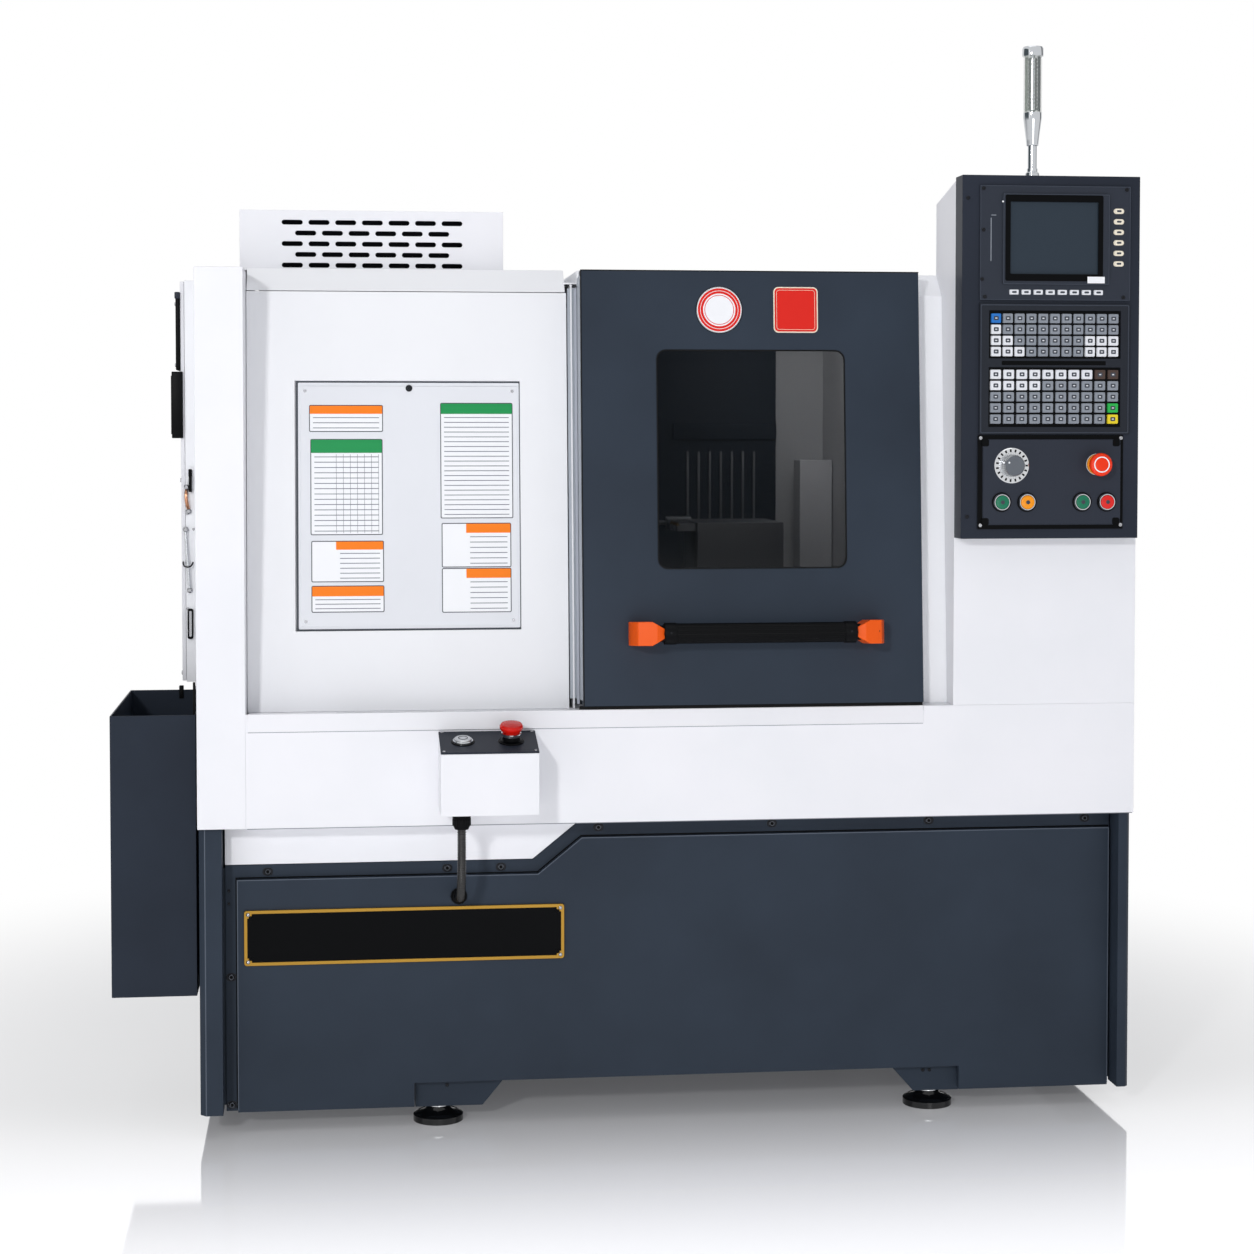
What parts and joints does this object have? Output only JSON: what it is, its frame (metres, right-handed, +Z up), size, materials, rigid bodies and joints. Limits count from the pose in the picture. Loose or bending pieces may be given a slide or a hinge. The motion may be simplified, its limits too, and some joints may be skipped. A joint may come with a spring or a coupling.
{
  "type": "cnc turning lathe",
  "caption": "Enclosed CNC turning lathe with a leaning sliding door, a control pillar with keypad and display, a signal lamp, a remote stop box and a side chip bin.",
  "frame": {"origin": "on the floor, below the middle of the machine's bounding box", "axes": "+Z up, +Y away from the operator, +X to the operator's right"},
  "size_m": [1.833, 1.3, 1.927],
  "materials": {
    "anthracite": "satin powder coat",
    "white": "satin powder coat",
    "orange": "satin",
    "black_plastic": "fine grain",
    "key_plastic": "matt",
    "panel_plastic": "matt",
    "steel": "ground",
    "chrome": "polished",
    "iron": "painted casting",
    "motor": "black paint",
    "belt": "matt",
    "pane": "tinted",
    "screen": "dark",
    "lamp_clear": "clear",
    "green": "glossy",
    "amber": "glossy",
    "red": "glossy",
    "plate_black": "gloss enamel",
    "aluminium": "turned"
  },
  "bodies": {
    "machine": {"base_frame": "anthracite", "levelling_feet": "black_plastic", "base_front_panel": "anthracite", "base_end_panels": "anthracite", "drip_tray": "white", "name_plate": "plate_black", "panel_screws": "steel", "front_band": "white", "door_sill": "white", "door_rails": "steel", "left_enclosure": "white", "headstock_cover": "white", "inspection_panel": "white", "roof_panel": "white", "exhaust_vent_box": "white", "right_front_wall": "white", "control_pillar": "white", "right_enclosure": "white", "rear_enclosure": "white", "inner_guard": "white", "chip_bin": "anthracite", "side_cabinet": "white", "control_box": "anthracite", "display_unit": "panel_plastic", "display_glass": "screen", "keypad_unit": "panel_plastic", "keypad_keys": "key_plastic", "operator_plate": "panel_plastic", "lamp_post": "aluminium", "lamp_tube": "lamp_clear", "stop_box": "white", "stop_box_lid": "anthracite", "control_rings": "chrome", "hose_glands": "black_plastic", "corrugated_hose": "black_plastic", "bed_casting": "iron", "headstock": "iron", "drive_belt": "belt", "drive_motors": "motor"},
    "door": {"door_skin": "anthracite", "door_frame": "white", "window_glass": "pane", "handle_bar": "black_plastic", "handle_ends": "orange"},
    "spindle": {"spindle": "steel"},
    "motor_pulley": {"motor_pulley": "steel"},
    "z_saddle": {"z_saddle": "iron"},
    "cross_slide": {"cross_slide": "iron"},
    "z_ball_screw": {"z_ball_screw": "steel"},
    "x_ball_screw": {"x_ball_screw": "steel"},
    "green_start_button": {"green_start_button": "green"},
    "orange_button": {"orange_button": "amber"},
    "green_cycle_button": {"green_cycle_button": "green"},
    "red_hold_button": {"red_hold_button": "red"},
    "panel_stop_head": {"panel_stop_head": "red"},
    "override_knob": {"override_knob": "aluminium"},
    "stop_box_head": {"stop_box_head": "red"},
    "stop_box_button": {"stop_box_button": "chrome"},
    "side_door": {"side_door": "white"},
    "main_switch": {"main_switch": "black_plastic"}
  },
  "joints": [
    {"name": "door_slide", "type": "slide", "parent": "machine", "child": "door", "axis": [-1, 0, 0], "range_m": [0, 0.42]},
    {"name": "spindle_turn", "type": "hinge", "parent": "machine", "child": "spindle", "pos_m": [-0.2235, -0.07, 1.06], "axis": [1, 0, 0], "continuous": true},
    {"name": "motor_turn", "type": "hinge", "parent": "machine", "child": "motor_pulley", "pos_m": [-0.5395, 0.28, 1.06], "axis": [1, 0, 0], "continuous": true},
    {"name": "z_slide", "type": "slide", "parent": "machine", "child": "z_saddle", "axis": [1, 0, 0], "range_m": [-0.155, 0.115]},
    {"name": "z_screw_turn", "type": "hinge", "parent": "machine", "child": "z_ball_screw", "pos_m": [0.2265, -0.03, 0.822], "axis": [1, 0, 0], "range_deg": [-5600, 4200]},
    {"name": "x_slide", "type": "slide", "parent": "z_saddle", "child": "cross_slide", "axis": [0, 1, 0], "range_m": [-0.08, 0.08]},
    {"name": "x_screw_turn", "type": "hinge", "parent": "z_saddle", "child": "x_ball_screw", "pos_m": [0.2565, -0.03, 0.9], "axis": [0, 1, 0], "range_deg": [-5800, 5800]},
    {"name": "green_start_button_press", "type": "slide", "parent": "machine", "child": "green_start_button", "axis": [0, 1, 0], "range_m": [0, 0.003], "stiffness_N_per_m": 400, "springref_m": -0.0015},
    {"name": "orange_button_press", "type": "slide", "parent": "machine", "child": "orange_button", "axis": [0, 1, 0], "range_m": [0, 0.003], "stiffness_N_per_m": 400, "springref_m": -0.0015},
    {"name": "green_cycle_button_press", "type": "slide", "parent": "machine", "child": "green_cycle_button", "axis": [0, 1, 0], "range_m": [0, 0.003], "stiffness_N_per_m": 400, "springref_m": -0.0015},
    {"name": "red_hold_button_press", "type": "slide", "parent": "machine", "child": "red_hold_button", "axis": [0, 1, 0], "range_m": [0, 0.003], "stiffness_N_per_m": 400, "springref_m": -0.0015},
    {"name": "panel_stop_head_press", "type": "slide", "parent": "machine", "child": "panel_stop_head", "axis": [0, 1, 0], "range_m": [0, 0.004], "stiffness_N_per_m": 400, "springref_m": -0.0015},
    {"name": "override_turn", "type": "hinge", "parent": "machine", "child": "override_knob", "pos_m": [0.6695, -0.604, 1.183], "axis": [0, 1, 0], "range_deg": [-135, 135]},
    {"name": "stop_box_head_press", "type": "slide", "parent": "machine", "child": "stop_box_head", "axis": [0, 0.2425, -0.9701], "range_m": [0, 0.004], "stiffness_N_per_m": 400, "springref_m": -0.0015},
    {"name": "stop_box_button_press", "type": "slide", "parent": "machine", "child": "stop_box_button", "axis": [0, 0.2425, -0.9701], "range_m": [0, 0.003], "stiffness_N_per_m": 400, "springref_m": -0.0015},
    {"name": "side_door_hinge", "type": "hinge", "parent": "machine", "child": "side_door", "pos_m": [-0.8185, 0.552, 1.14], "axis": [0, 0, -1], "range_deg": [0, 110]},
    {"name": "main_switch_turn", "type": "hinge", "parent": "side_door", "child": "main_switch", "pos_m": [-0.8325, 0.01, 1.318], "axis": [1, 0, 0], "range_deg": [0, 90]}
  ],
  "couplings": [
    {"joint": "motor_turn", "follows": "spindle_turn", "ratio": 1},
    {"joint": "z_screw_turn", "follows": "z_slide", "rad_per_m": 628.32},
    {"joint": "x_screw_turn", "follows": "x_slide", "rad_per_m": 1256.6}
  ]
}
